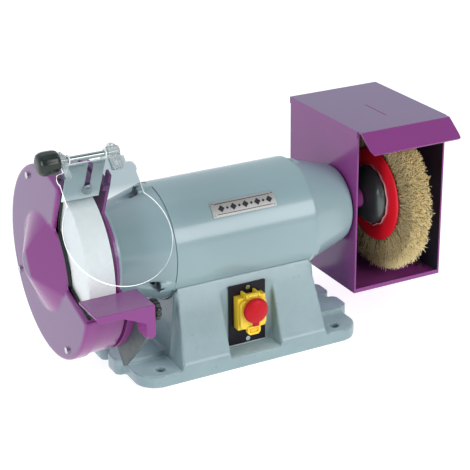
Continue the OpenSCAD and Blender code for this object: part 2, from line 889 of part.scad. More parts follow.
module switch_housing() {
    color(c_yellow) difference() {
        union() {
            box(-sw_half, sw_half, sw_front - 14, sw_front, sw_z0, sw_z1);
            for (x = [-12, 8.3]) {
                box(x, x + 3.7, -99.5, sw_front, sw_z1 - 1, 112);
                bar_x(4, x, x + 3.7, lid_pin[0], lid_pin[1]);
            }
        }
        box(-19, 19, sw_front - 15, sw_front - 9, 60, 100);
        bar_x(1.55, -20, 20, lid_pin[0], lid_pin[1]);
        bar_y(button_r + slide_gap, sw_front - 20, sw_front + 1, 0, stop_z);
        bar_y(button_r + slide_gap, sw_front - 20, sw_front + 1, 0, start_z);
        box(-8.3, 8.3, -110, sw_front - 9, 103, 115);
    }
}

module switch_screws() {
    color(c_steel) for (z = [31, 116]) {
        bar_y(3.6, sw_front - 2, sw_front, 0, z);
        bar_y(2, sw_front - 1, sw_wall_y, 0, z);
    }
}

module estop_lid() {
    color(c_yellow) difference() {
        union() {
            box(-22, 22, lid_y - lid_t, lid_y, 57, 103);
            box(-8, 8, lid_y - lid_t, lid_y, 102, lid_pin[1]);
            bar_x(4, -8, 8, lid_pin[0], lid_pin[1]);
            bar_x(1.5, -11.8, 11.8, lid_pin[0], lid_pin[1]);
            box(-11, 11, lid_y - lid_t - 2, lid_y, 46, 62);
        }
        bar_y(8 + slide_gap, -120, -90, 0, stop_z);
        box(-7.5, 7.5, lid_y - lid_t - 3, lid_y - 3, 50, 58);
    }
}

module stop_pad() {
    color(c_red) {
        bar_y(8, lid_y - lid_t - 6, lid_y + 1, 0, stop_z);
        bar_y(20, lid_y - lid_t - 13, lid_y - lid_t - 4.5, 0, stop_z);
        bar_y(16, lid_y - lid_t - 15, lid_y - lid_t - 12, 0, stop_z);
        box(-5, 5, lid_y - lid_t - 9, lid_y - lid_t - 4.5, 63, 72);
    }
}

module start_button() {
    color([0.1, 0.6, 0.25]) bar_y(button_r, sw_front - 12, sw_front - 4, 0, start_z);
}

module stop_button() {
    color(c_red) bar_y(button_r, sw_front - 12.5, sw_front - 4.5, 0, stop_z);
}

module capacitor() {
    color([0.8, 0.8, 0.78]) bar_x(20, -95, -20, 40, 26);
}

module terminal_block() {
    color([0.9, 0.9, 0.88]) difference() {
        box(10, 70, -10, 10, 64, 88);
        for (x = [16:9:66]) bar_y(2.5, -12, 12, x, 72);
    }
}

module cable_gland() {
    color(c_black) difference() {
        union() {
            bar_y(8, 72, 112, 60, 52);
            translate([60, 115, 52]) rotate([90, 0, 0])
                cylinder(r = 22 / sqrt(3), h = 7, $fn = 6);
            bar_y(10, 115, 124, 60, 52);
            translate([60, 78, 52]) rotate([90, 0, 0]) cylinder(r = 13, h = 6, $fn = 6);
        }
        bar_y(4.5, 70, 130, 60, 52);
    }
}

base_casting();
base_cover_plate();
base_cover_screws();
motor_housing();
left_end_bell();
right_end_bell();
through_bolts();
housing_bolts();
stator_core();
stator_windings();
bearing_outer_races();
name_plate();
name_plate_rivets();
switch_plate();
switch_body();
switch_housing();
switch_screws();
capacitor();
terminal_block();
cable_gland();
guard_drum();
guard_inner_wall();
guard_outer_cover();
cover_screws();
guard_bolts();
rest_bracket();
bracket_screws();
rest_clamp_bolt();
brush_box();
brush_box_top();
brush_box_screws();
brush_box_bolts();
brush_sleeve();
arrester_bolt();
spindle_shaft();
rotor_core();
rotor_end_rings();
bearing_inner_races();
cooling_fan();
grinding_wheel();
wheel_blotters();
wheel_inner_flange();
wheel_outer_flange();
wheel_nut();
brush_bristles();
brush_rings();
brush_cups();
brush_nut();
tool_rest();
rest_knob();
spark_arrester();
shield_rod();
eye_shield();
shield_clips();
shield_knob();
estop_lid();
stop_pad();
start_button();
stop_button();
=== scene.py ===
"""Looks of the bench grinder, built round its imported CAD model."""

import json
import math

import bmesh
import bpy
import numpy as np
from mathutils import Matrix, Vector

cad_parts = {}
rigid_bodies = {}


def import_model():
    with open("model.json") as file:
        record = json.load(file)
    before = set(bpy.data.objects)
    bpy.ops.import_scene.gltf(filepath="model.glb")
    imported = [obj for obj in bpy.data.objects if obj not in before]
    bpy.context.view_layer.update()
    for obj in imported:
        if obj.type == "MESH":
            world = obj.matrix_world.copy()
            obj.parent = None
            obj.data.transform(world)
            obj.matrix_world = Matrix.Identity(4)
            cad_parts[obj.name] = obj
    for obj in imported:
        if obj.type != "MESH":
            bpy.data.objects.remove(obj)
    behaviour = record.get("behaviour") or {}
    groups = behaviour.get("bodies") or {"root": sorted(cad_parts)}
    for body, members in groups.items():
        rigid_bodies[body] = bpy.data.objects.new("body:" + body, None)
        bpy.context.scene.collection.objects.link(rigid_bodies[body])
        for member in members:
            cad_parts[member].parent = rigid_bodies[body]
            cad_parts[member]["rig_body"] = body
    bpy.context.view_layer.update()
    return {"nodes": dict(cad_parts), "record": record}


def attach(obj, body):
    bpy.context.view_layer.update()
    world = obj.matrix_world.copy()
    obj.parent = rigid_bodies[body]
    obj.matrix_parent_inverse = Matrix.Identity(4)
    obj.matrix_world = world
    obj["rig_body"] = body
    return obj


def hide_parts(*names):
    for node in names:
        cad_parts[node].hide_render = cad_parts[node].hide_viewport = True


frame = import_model()

MM = 0.001
AXIS_H = 185.0
NODES = frame["nodes"]
BODY_OF = {n: o["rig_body"] for n, o in NODES.items()}
SLOT_OF = {s["node"]: s["material_slot"] for s in frame["record"]["subparts"]}


# ---------- materials ----------

NOISE_LOW, NOISE_HIGH = 0.3, 0.7
TINT_Z = (0.318, 0.336)

def new_material(name):
    """An empty node material with its output and texture coordinates."""
    mat = bpy.data.materials.new(name)
    mat.use_nodes = True
    nodes, links = mat.node_tree.nodes, mat.node_tree.links
    nodes.clear()
    out = nodes.new("ShaderNodeOutputMaterial")
    coord = nodes.new("ShaderNodeTexCoord")
    return mat, nodes, links, out, coord


def noise(nodes, links, coord, scale, detail=3.0, rough=0.55, stretch=None):
    """Noise that stays with the piece; stretch scales its axes."""
    tex = nodes.new("ShaderNodeTexNoise")
    tex.inputs["Scale"].default_value = scale
    tex.inputs["Detail"].default_value = detail
    tex.inputs["Roughness"].default_value = rough
    vec = coord.outputs["Object"]
    if stretch:
        mapping = nodes.new("ShaderNodeMapping")
        mapping.inputs["Scale"].default_value = stretch
        links.new(vec, mapping.inputs["Vector"])
        vec = mapping.outputs["Vector"]
    links.new(vec, tex.inputs["Vector"])
    return tex.outputs["Fac"]


def ramp(nodes, links, fac, stops):
    """Colour between two (position, colour) stops."""
    node = nodes.new("ShaderNodeValToRGB")
    for element, (position, colour) in zip(node.color_ramp.elements, stops):
        element.position = position
        element.color = (*colour, 1)
    links.new(fac, node.inputs["Fac"])
    return node.outputs["Color"]


def spread(nodes, links, fac, low, high):
    """Noise, which mostly lies between NOISE_LOW and NOISE_HIGH, stretched to low..high."""
    node = nodes.new("ShaderNodeMapRange")
    node.inputs["From Min"].default_value = NOISE_LOW
    node.inputs["From Max"].default_value = NOISE_HIGH
    node.inputs["To Min"].default_value = low
    node.inputs["To Max"].default_value = high
    links.new(fac, node.inputs["Value"])
    return node.outputs["Result"]


def bump(nodes, links, fac, depth_mm, normal=None):
    relief = nodes.new("ShaderNodeBump")
    relief.inputs["Strength"].default_value = 1.0
    relief.inputs["Distance"].default_value = depth_mm * MM
    links.new(fac, relief.inputs["Height"])
    if normal is not None:
        links.new(normal, relief.inputs["Normal"])
    return relief.outputs["Normal"]


def surface(name, light, dark, rough, tone_scale, metal=0.0, coat=0.0, grain_scale=0.0,
            grain_mm=0.0, wave_scale=0.0, wave_mm=0.0, stretch=None,
            gloss_tint=(1.0, 1.0, 1.0)):
    """Principled surface: colour drifts between two tones, roughness and relief from noise."""
    mat, nodes, links, out, coord = new_material(name)
    bsdf = nodes.new("ShaderNodeBsdfPrincipled")
    bsdf.inputs["Metallic"].default_value = metal
    bsdf.inputs["Coat Weight"].default_value = coat
    bsdf.inputs["Coat Roughness"].default_value = 0.06
    bsdf.inputs["Specular Tint"].default_value = (*gloss_tint, 1)
    tone = noise(nodes, links, coord, tone_scale, 4.0, 0.6, stretch)
    links.new(ramp(nodes, links, tone, [(NOISE_LOW, dark), (NOISE_HIGH, light)]),
              bsdf.inputs["Base Color"])
    links.new(spread(nodes, links, noise(nodes, links, coord, tone_scale * 3, 4.0, 0.6, stretch),
                     *rough), bsdf.inputs["Roughness"])
    normal = None
    if wave_mm:
        normal = bump(nodes, links, noise(nodes, links, coord, wave_scale, 2.0), wave_mm)
    if grain_mm:
        normal = bump(nodes, links, noise(nodes, links, coord, grain_scale, 3.0, 0.6, stretch),
                      grain_mm, normal)
    if normal is not None:
        links.new(normal, bsdf.inputs["Normal"])
    links.new(bsdf.outputs["BSDF"], out.inputs["Surface"])
    return mat


def clear_sheet(name, low_tint, high_tint, fresnel_ior, haze, edge_glow=0.0):
    """Clear moulded plastic seen as a thin sheet: tinted see-through with a gloss on top.

    The tint deepens towards the sheet's upper end.
    """
    mat, nodes, links, out, coord = new_material(name)
    see = nodes.new("ShaderNodeBsdfTransparent")
    height = nodes.new("ShaderNodeSeparateXYZ")
    links.new(coord.outputs["Object"], height.inputs["Vector"])
    level = nodes.new("ShaderNodeMapRange")
    level.inputs["From Min"].default_value = TINT_Z[0]
    level.inputs["From Max"].default_value = TINT_Z[1]
    links.new(height.outputs["Z"], level.inputs["Value"])
    links.new(ramp(nodes, links, level.outputs["Result"], [(0.0, low_tint), (1.0, high_tint)]),
              see.inputs["Color"])
    milky = nodes.new("ShaderNodeBsdfDiffuse")
    milky.inputs["Color"].default_value = (0.9, 0.94, 0.95, 1)
    body = nodes.new("ShaderNodeMixShader")
    links.new(spread(nodes, links, noise(nodes, links, coord, 45.0), haze * 0.8, haze * 1.2),
              body.inputs["Fac"])
    links.new(see.outputs["BSDF"], body.inputs[1])
    links.new(milky.outputs["BSDF"], body.inputs[2])
    gloss = nodes.new("ShaderNodeBsdfGlossy")
    gloss.inputs["Roughness"].default_value = 0.04
    fresnel = nodes.new("ShaderNodeFresnel")
    fresnel.inputs["IOR"].default_value = fresnel_ior
    mix = nodes.new("ShaderNodeMixShader")
    links.new(fresnel.outputs["Fac"], mix.inputs["Fac"])
    links.new(body.outputs["Shader"], mix.inputs[1])
    links.new(gloss.outputs["BSDF"], mix.inputs[2])
    glow = nodes.new("ShaderNodeEmission")
    glow.inputs["Strength"].default_value = edge_glow
    total = nodes.new("ShaderNodeAddShader")
    links.new(mix.outputs["Shader"], total.inputs[0])
    links.new(glow.outputs["Emission"], total.inputs[1])
    links.new(total.outputs["Shader"], out.inputs["Surface"])
    return mat


# These three paints, chosen for their look only, carry painted light: the foot's lighter top
# paint is painted light, the bluer guard paint painted shade and reflection, the rest's lighter
# top paint painted light and reflection.
GUARD_GLOSS = (0.62, 0.86, 1.0)
BODY = surface("body_enamel", (0.276, 0.388, 0.415), (0.270, 0.380, 0.407), (0.24, 0.27),
               coat=0.35, tone_scale=9.0, grain_scale=420.0, grain_mm=0.004)
CAST = surface("cast_enamel", (0.285, 0.398, 0.425), (0.252, 0.355, 0.384), (0.26, 0.40),
               coat=0.30, tone_scale=26.0, grain_scale=380.0, grain_mm=0.03,
               wave_scale=95.0, wave_mm=0.22)
# Lighter copy of the casting paint for the foot's level top: painted light.
CAST_PAINTED_LIGHT = surface("cast_enamel_painted_light", (0.54, 0.70, 0.74), (0.46, 0.60, 0.64), (0.40, 0.55),
                coat=0.10, tone_scale=26.0, grain_scale=380.0, grain_mm=0.03,
                wave_scale=95.0, wave_mm=0.22)
PURPLE = surface("guard_enamel", (0.255, 0.042, 0.224), (0.245, 0.040, 0.214), (0.15, 0.18),
                 coat=0.08, tone_scale=7.0, grain_scale=260.0, grain_mm=0.006,
                 gloss_tint=GUARD_GLOSS)
# Bluer, darker copy of the guard paint: painted shade with a painted reflection of the pale
# surround.
PURPLE_SHADE_REFLECTION = surface("guard_enamel_shade_reflection", (0.165, 0.052, 0.190), (0.157, 0.049, 0.182),
                      (0.15, 0.18), coat=0.08, tone_scale=7.0, grain_scale=260.0,
                      grain_mm=0.006, gloss_tint=GUARD_GLOSS)
# Lighter, paler copy of the guard paint for the rest's top: painted light with a painted
# reflection.
PURPLE_PAINTED_LIGHT = surface("rest_enamel_painted_light", (0.310, 0.110, 0.290), (0.250, 0.070, 0.232),
                      (0.24, 0.28), coat=0.05, tone_scale=9.0, grain_scale=260.0,
                      grain_mm=0.004, gloss_tint=GUARD_GLOSS)
ZINC = surface("zinc_plate", (0.86, 0.93, 0.92), (0.79, 0.87, 0.86), (0.30, 0.40), metal=0.1,
               tone_scale=30.0, grain_scale=500.0, grain_mm=0.01)
STEEL = surface("bright_steel", (0.68, 0.69, 0.70), (0.52, 0.53, 0.55), (0.16, 0.30), metal=1.0,
                tone_scale=90.0, grain_scale=900.0, grain_mm=0.008)
DARK = surface("dark_steel", (0.060, 0.088, 0.088), (0.040, 0.060, 0.060), (0.38, 0.50),
               tone_scale=30.0, grain_scale=500.0, grain_mm=0.02)
CUP = surface("dark_lacquer", (0.120, 0.140, 0.135), (0.095, 0.112, 0.108), (0.30, 0.36),
              metal=0.6, coat=0.3, tone_scale=30.0)
# Near-black navy for the brush box's inner walls: painted shade inside the box.
INSIDE_SHADE = surface("guard_inside_painted_shade", (0.018, 0.022, 0.042), (0.014, 0.018, 0.034), (0.45, 0.55),
                 tone_scale=9.0, grain_scale=260.0, grain_mm=0.01)
LINER = surface("pink_liner", (0.85, 0.50, 0.55), (0.76, 0.40, 0.46), (0.35, 0.45),
                tone_scale=60.0)
# Chrome darkened below its own brightness: painted reflection of the dark things the rod mirrors.
CHROME_DARK_REFLECTION = surface("chrome_bar_dark_reflection", (0.32, 0.37, 0.37), (0.28, 0.33, 0.33), (0.10, 0.16), metal=1.0,
                 tone_scale=60.0)
GRIT = surface("white_grit", (0.84, 0.87, 0.87), (0.78, 0.81, 0.81), (0.80, 0.95),
               tone_scale=120.0, grain_scale=1400.0, grain_mm=0.12, wave_scale=300.0,
               wave_mm=0.06)
BRASS = surface("brass_wire", (1.00, 0.86, 0.50), (0.76, 0.60, 0.30), (0.38, 0.52), metal=0.15,
                tone_scale=340.0)
# Darker brass for the solid core that stands for the packed inner wires: painted shade deep in
# the brush.
BRASS_CORE_SHADE = surface("brass_wire_core_shade", (0.42, 0.33, 0.16), (0.20, 0.15, 0.07), (0.5, 0.7),
                     metal=0.3, tone_scale=420.0, grain_scale=900.0, grain_mm=0.6)
RED_METAL = surface("red_enamel", (1.00, 0.014, 0.034), (0.94, 0.012, 0.028), (0.28, 0.34),
                    coat=0.4, tone_scale=22.0, grain_scale=300.0, grain_mm=0.015)
RUBBER = surface("black_rubber", (0.009, 0.018, 0.014), (0.006, 0.013, 0.010), (0.24, 0.36),
                 tone_scale=40.0, grain_scale=800.0, grain_mm=0.02)
BLACK = surface("black_plastic", (0.014, 0.012, 0.018), (0.009, 0.008, 0.012), (0.32, 0.42),
                tone_scale=40.0, grain_scale=900.0, grain_mm=0.02, gloss_tint=(0.35, 0.33, 0.36))
YELLOW = surface("yellow_plastic", (1.00, 0.71, 0.045), (0.94, 0.64, 0.035), (0.30, 0.40),
                 tone_scale=30.0, grain_scale=900.0, grain_mm=0.02)
RED = surface("red_plastic", (0.56, 0.010, 0.018), (0.50, 0.009, 0.016), (0.36, 0.44),
              tone_scale=40.0, grain_scale=900.0, grain_mm=0.02, gloss_tint=(0.8, 0.25, 0.30))
GREEN = surface("green_plastic", (0.02, 0.26, 0.07), (0.016, 0.20, 0.055), (0.3, 0.4),
                tone_scale=40.0, grain_scale=900.0, grain_mm=0.02)
WHITE = surface("white_plastic", (0.78, 0.78, 0.75), (0.70, 0.70, 0.67), (0.4, 0.5),
                tone_scale=40.0, grain_scale=900.0, grain_mm=0.02)
PAPER = surface("blotter_card", (0.66, 0.58, 0.38), (0.56, 0.48, 0.30), (0.85, 0.95),
                tone_scale=120.0, grain_scale=900.0, grain_mm=0.06)
COPPER = surface("enamelled_copper", (0.50, 0.18, 0.06), (0.34, 0.11, 0.035), (0.25, 0.4),
                 metal=0.6, tone_scale=50.0, grain_scale=500.0, grain_mm=0.4,
                 stretch=(1.0, 0.12, 0.12))
PLATE = surface("brushed_aluminium", (0.56, 0.545, 0.53), (0.46, 0.445, 0.43), (0.30, 0.45),
                metal=0.6, tone_scale=120.0, grain_scale=900.0, grain_mm=0.01,
                stretch=(0.05, 1.0, 1.0))
INK = surface("plate_ink", (0.012, 0.012, 0.014), (0.008, 0.008, 0.010), (0.4, 0.5),
              tone_scale=60.0)
CLEAR = clear_sheet("clear_sheet", (0.97, 0.985, 0.99), (0.63, 0.69, 0.71), 1.26, 0.015)
CLEAR_EDGE = clear_sheet("clear_edge", (0.96, 0.98, 0.98), (0.80, 0.86, 0.88), 1.45, 0.70, 0.62)
CLEAR_CLIP = clear_sheet("clear_clip", (0.93, 0.96, 0.96), (0.92, 0.95, 0.95), 1.20, 0.30)

FINISH = {
    "body_paint": BODY, "guard_paint": PURPLE, "zinc": ZINC, "steel": STEEL,
    "dark_steel": DARK, "chrome": CHROME_DARK_REFLECTION, "abrasive": GRIT, "brass_wire": BRASS,
    "red_paint": RED_METAL, "rubber": RUBBER, "black_plastic": BLACK,
    "yellow_plastic": YELLOW, "red_plastic": RED, "green_plastic": GREEN,
    "clear_plastic": CLEAR, "plate_metal": PLATE, "paper": PAPER, "copper": COPPER,
    "white_plastic": WHITE,
}


# ---------- mesh tools (millimetres in, metres out) ----------

def add_mesh(name, mesh, mats, body, replaces=()):
    """A visible piece that rides on a body and may stand for CAD nodes."""
    obj = linked(name, mesh)
    obj.data.materials.clear()
    for m in mats:
        obj.data.materials.append(m)
    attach(obj, body)
    if replaces:
        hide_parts(*replaces)
    return obj


def bm_mesh(bm, name):
    bmesh.ops.scale(bm, vec=(MM,) * 3, verts=bm.verts)
    me = bpy.data.meshes.new(name)
    bm.to_mesh(me)
    bm.free()
    return me


def shade(mesh, angle):
    """Smooth shading that stays crisp over edges sharper than the angle."""
    bm = bmesh.new()
    bm.from_mesh(mesh)
    for f in bm.faces:
        f.smooth = True
    for e in bm.edges:
        e.smooth = not (len(e.link_faces) == 2 and e.calc_face_angle(0) > math.radians(angle))
    bm.to_mesh(mesh)
    bm.free()


def linked(name, data):
    """A new object in the scene."""
    obj = bpy.data.objects.new(name, data)
    bpy.context.scene.collection.objects.link(obj)
    return obj


def baked(mesh, modifiers):
    """The mesh with a list of (type, settings) modifiers applied."""
    obj = linked("bake_tmp", mesh)
    for kind, settings in modifiers:
        mod = obj.modifiers.new(kind.lower(), kind)
        for key, value in settings.items():
            setattr(mod, key, value)
    dg = bpy.context.evaluated_depsgraph_get()
    result = bpy.data.meshes.new_from_object(obj.evaluated_get(dg),
                                             preserve_all_data_layers=True, depsgraph=dg)
    bpy.data.objects.remove(obj)
    return result


def cad_copy(node, merge_flats=True):
    """Welded copy of a CAD node's mesh, as a rule with its flat faces merged."""
    bm = bmesh.new()
    bm.from_mesh(NODES[node].data)
    bmesh.ops.remove_doubles(bm, verts=bm.verts, dist=4e-6)
    if merge_flats:
        bmesh.ops.dissolve_limit(bm, angle_limit=math.radians(0.6), verts=bm.verts,
                                 edges=bm.edges)
    me = bpy.data.meshes.new(node)
    bm.to_mesh(me)
    bm.free()
    return me


def soften(node, width, segments, mats=None):
    """Replaces a CAD node by a copy whose sharp edges are rounded."""
    me = baked(cad_copy(node), [("BEVEL", dict(
        width=width * MM, segments=segments, limit_method="ANGLE",
        angle_limit=math.radians(28.0), use_clamp_overlap=False, miter_outer="MITER_ARC"))])
    shade(me, 40.0)
    me = baked(me, [("WEIGHTED_NORMAL", dict(weight=100, keep_sharp=True))])
    slot = SLOT_OF[node]
    return add_mesh(node + "_finish", me, mats or [FINISH[slot]], BODY_OF[node], (node,))


def cast(node, voxel, rounds, mat):
    """Replaces a CAD node by a copy with the soft edges of a painted casting."""
    me = baked(cad_copy(node, merge_flats=False), [
        ("REMESH", dict(mode="VOXEL", voxel_size=voxel * MM, adaptivity=0.0)),
        ("SMOOTH", dict(factor=0.5, iterations=rounds))])
    shade(me, 180.0)
    return add_mesh(node + "_casting", me, [mat], BODY_OF[node], (node,))


def ring_mesh(name, profile, segments=96, axis="X", centre=(0.0, 0.0), wobble=None):
    """Revolves [radius, along] points about a line parallel to an axis, through centre."""
    verts, faces = [], []
    n = len(profile)
    for i in range(segments):
        a = 2 * math.pi * i / segments
        for r, t in profile:
            wide = r + (wobble(a, r, t) if wobble else 0.0)
            u, v = wide * math.cos(a), wide * math.sin(a)
            if axis == "X":
                verts.append((t, centre[0] + u, centre[1] + v))
            else:
                verts.append((centre[0] + u, t, centre[1] + v))
        j = (i + 1) % segments
        for k in range(n):
            m = (k + 1) % n
            faces.append((i * n + k, i * n + m, j * n + m, j * n + k))
    bm = bmesh.new()
    bv = [bm.verts.new(v) for v in verts]
    for f in faces:
        bm.faces.new([bv[i] for i in f])
    bmesh.ops.remove_doubles(bm, verts=bm.verts, dist=1e-4)
    bmesh.ops.recalc_face_normals(bm, faces=bm.faces)
    return bm_mesh(bm, name)


def rounded_outline(points, radius, steps=6):
    """Polygon with its corners replaced by arcs; radius is one number or one per corner."""
    out = []
    n = len(points)
    for i, p in enumerate(points):
        r = radius[i] if isinstance(radius, (list, tuple)) else radius
        a, b, c = Vector(points[i - 1]), Vector(p), Vector(points[(i + 1) % n])
        d0, d1 = (a - b), (c - b)
        l0, l1 = d0.length, d1.length
        d0.normalize()
        d1.normalize()
        half = math.acos(max(-1.0, min(1.0, d0.dot(d1)))) / 2
        if r <= 0 or half < 0.05 or half > math.pi / 2 - 0.02:
            out.append(tuple(b))
            continue
        t = min(r / math.tan(half), 0.49 * l0, 0.49 * l1)
        rr = t * math.tan(half)
        mid = (d0 + d1).normalized()
        centre = b + mid * (rr / math.sin(half))
        s, e = b + d0 * t - centre, b + d1 * t - centre
        turn = math.atan2(s.x * e.y - s.y * e.x, s.dot(e))
        for k in range(steps + 1):
            q = turn * k / steps
            out.append((centre.x + s.x * math.cos(q) - s.y * math.sin(q),
                        centre.y + s.x * math.sin(q) + s.y * math.cos(q)))
    return out


def slab(outline, depth0, depth1, plane="XZ", holes=(), edge=0.8, segments=3, name="slab"):
    """Extruded outline with rounded rims. XZ slabs run along Y, YZ slabs along X."""
    bm = bmesh.new()

    def put(p, d):
        return (p[0], d, p[1]) if plane == "XZ" else (d, p[0], p[1])

    loops = [outline, *holes]
    edges = []
    for loop in loops:
        vs = [bm.verts.new(put(p, depth0)) for p in loop]
        edges += [bm.edges.new((vs[i], vs[(i + 1) % len(vs)])) for i in range(len(vs))]
    if holes:
        bmesh.ops.triangle_fill(bm, use_beauty=True, use_dissolve=True, edges=edges)
    else:
        bmesh.ops.contextual_create(bm, geom=edges)
    faces = list(bm.faces)
    ext = bmesh.ops.extrude_face_region(bm, geom=faces, use_keep_orig=True)
    shift = depth1 - depth0
    vec = (0, shift, 0) if plane == "XZ" else (shift, 0, 0)
    bmesh.ops.translate(bm, vec=vec,
                        verts=[g for g in ext["geom"] if isinstance(g, bmesh.types.BMVert)])
    bmesh.ops.recalc_face_normals(bm, faces=bm.faces)
    if edge > 0:
        rims = [e for e in bm.edges if len(e.link_faces) == 2
                and e.calc_face_angle(0) > math.radians(60)]
        bmesh.ops.bevel(bm, geom=rims, offset=edge, segments=segments, profile=0.5,
                        affect="EDGES", clamp_overlap=True)
    me = bm_mesh(bm, name)
    shade(me, 35.0)
    return me


def merged(name, meshes):
    """One mesh from several, which stay separate shells."""
    bm = bmesh.new()
    for me in meshes:
        bm.from_mesh(me)
    out = bpy.data.meshes.new(name)
    bm.to_mesh(out)
    bm.free()
    return out


def at(r, degrees):
    """(y, z) at a radius from the spindle's axis, in degrees above the front."""
    a = math.radians(degrees)
    return (-r * math.cos(a), AXIS_H + r * math.sin(a))


# ---------- castings and motor ----------

FOOT_TOP_Z = 0.06

foot = cast("base_casting", 1.7, 9, CAST)
# The foot's low level top faces get the lighter copy: painted light on the foot's top under the
# motor and guard.
foot.data.materials.append(CAST_PAINTED_LIGHT)
for poly in foot.data.polygons:
    if poly.normal.z > 0.93 and poly.center.z < FOOT_TOP_Z:
        poly.material_index = 1
cast("left_end_bell", 1.3, 3, BODY)
cast("right_end_bell", 1.5, 7, BODY)

# ---------- wheel guard ----------

COVER_X = -283.0
COVER_R = 144.6
HUB_R = 61.0
OPEN = (-16.0, 66.0)
OPEN_MID = math.radians(sum(OPEN) / 2)
FACET_A = math.radians(28.0)
FACET_X = -278.0
FACET_R = 46.0
RIM_R = 138.0
LIP_X, HUB_LIP_X, BACK_X = -276.5, -272.5, -263.0
STRIP_R, STRIP_END_R = 66.0, 136.0
STRIP_X = (-276.5, -271.3)


def disc(radius1, radius2, depth, segments, centre, name):
    """Round solid along X, tapering from radius1 to radius2."""
    bm = bmesh.new()
    bmesh.ops.create_cone(bm, cap_ends=True, segments=segments, radius1=radius1,
                          radius2=radius2, depth=depth)
    bmesh.ops.rotate(bm, matrix=Matrix.Rotation(-math.pi / 2, 3, "Y"), verts=bm.verts)
    bmesh.ops.translate(bm, vec=centre, verts=bm.verts)
    return bm_mesh(bm, name)


def facet_cutter():
    """Block whose one face is the flat that slopes in towards the cover's opening."""
    bm = bmesh.new()
    bmesh.ops.create_cube(bm, size=1)
    bmesh.ops.scale(bm, vec=(60, 160, 260), verts=bm.verts)
    bmesh.ops.translate(bm, vec=(-30, 20, 0), verts=bm.verts)
    bmesh.ops.rotate(bm, matrix=Matrix.Rotation(FACET_A, 3, "Z"), verts=bm.verts)
    bmesh.ops.translate(bm, vec=(0, -FACET_R, 0), verts=bm.verts)
    bmesh.ops.rotate(bm, matrix=Matrix.Rotation(-OPEN_MID, 3, "X"), verts=bm.verts)
    bmesh.ops.translate(bm, vec=(FACET_X, 0, AXIS_H), verts=bm.verts)
    return bm_mesh(bm, "cutter")


def boolean(other, operation):
    return "BOOLEAN", dict(object=other, operation=operation, solver="EXACT")


def pressed_cover():
    """Outer skin of the guard cover: dished plate, cone and flat facet with pressed edges."""
    outline = [at(COVER_R, a) for a in np.linspace(OPEN[1], 360 + OPEN[0], 150)]
    outline += [at(HUB_R + 1, a) for a in np.linspace(OPEN[0], OPEN[1], 36)]
    plate = slab(outline, COVER_X, COVER_X + 34, "YZ", edge=6.0, segments=4, name="plate")
    cone = disc(77, 19, 26, 96, (COVER_X - 12, 16, AXIS_H - 3.5), "cone")
    cutter = linked("cutter", facet_cutter())
    hub = linked("hub", disc(HUB_R + 6, HUB_R + 6, 60, 128, (COVER_X + 8, 0, AXIS_H), "hub"))
    near = linked("near", baked(cutter.data.copy(), [boolean(hub, "INTERSECT")]))
    cone_cut = linked("cone_cut", baked(cone, [boolean(cutter, "DIFFERENCE")]))
    solid = baked(plate, [
        boolean(near, "DIFFERENCE"), boolean(cone_cut, "UNION"),
        ("REMESH", dict(mode="VOXEL", voxel_size=1.5 * MM, adaptivity=0.0)),
        ("SMOOTH", dict(factor=0.5, iterations=16))])
    for obj in (cutter, hub, near, cone_cut):
        bpy.data.objects.remove(obj)
    bm = bmesh.new()
    bm.from_mesh(solid)
    bmesh.ops.scale(bm, vec=(1 / MM,) * 3, verts=bm.verts)
    for x in (LIP_X, HUB_LIP_X, BACK_X):
        bmesh.ops.bisect_plane(bm, geom=bm.verts[:] + bm.edges[:] + bm.faces[:], dist=1e-4,
                               plane_co=(x, 0, 0), plane_no=(1, 0, 0))
    gone = []
    for face in bm.faces:
        c = face.calc_center_median()
        r = math.hypot(c.y, c.z - AXIS_H)
        up = math.degrees(math.atan2(c.z - AXIS_H, -c.y))
        on_hub = OPEN[0] - 4 < up < OPEN[1] + 4 and r < HUB_R + 9
        back = HUB_LIP_X if on_hub else LIP_X if r < RIM_R else BACK_X
        if c.x > back:
            gone.append(face)
    bmesh.ops.delete(bm, geom=gone, context="FACES")
    me = baked(bm_mesh(bm, "cover"), [("SOLIDIFY", dict(thickness=2.4 * MM, offset=-1.0))])
    shade(me, 60.0)
    return me


cover = add_mesh("guard_cover_pressing", pressed_cover(), [PURPLE, PURPLE_SHADE_REFLECTION],
                 BODY_OF["guard_outer_cover"], ("guard_outer_cover",))
# The cover's flat outward face gets the bluer, darker copy of the guard paint: painted shade with
# a painted reflection.
for poly in cover.data.polygons:
    poly.material_index = 1 if poly.normal.x < -0.985 else 0


def shadow_strip():
    """Dark strip inside the cover's opening, reaching towards the wheel's face: painted shade
    between the cover's edge and the wheel.
    """
    bulge, half_width = 38.0, 1.0
    upper, lower = at(STRIP_R, OPEN[1] + 1), at(STRIP_R, OPEN[0] - 1)
    out = np.array([-math.cos(OPEN_MID), math.sin(OPEN_MID)])
    path = [at(STRIP_END_R, OPEN[1] + 1), upper]
    path += [tuple(np.array(upper) * (1 - t) + np.array(lower) * t + out * bulge * t * (1 - t))
             for t in np.linspace(0.04, 0.96, 20)]
    path = [Vector(q) for q in path + [lower, at(STRIP_END_R, OPEN[0] - 1)]]
    last = len(path) - 1
    centre, opening = Vector((0.0, AXIS_H)), Vector(at(STRIP_R, 25))
    one_side, other_side = [], []
    for i, q in enumerate(path):
        along = (path[min(i + 1, last)] - path[max(i - 1, 0)]).normalized()
        side = Vector((-along.y, along.x))
        outward = q - centre if 1 < i < last - 1 else opening - q
        if side.dot(outward) < 0:
            side = -side
        one_side.append(tuple(q + side * half_width))
        other_side.append(tuple(q - side * half_width))
    return slab(one_side + other_side[::-1], *STRIP_X, "YZ", edge=0.5, segments=2, name="strip")


# A dark sheet in the black rubber paint where there is only shade: painted shade in the cover's
# opening.
add_mesh("guard_shadow_strip", shadow_strip(), [RUBBER], BODY_OF["guard_outer_cover"])

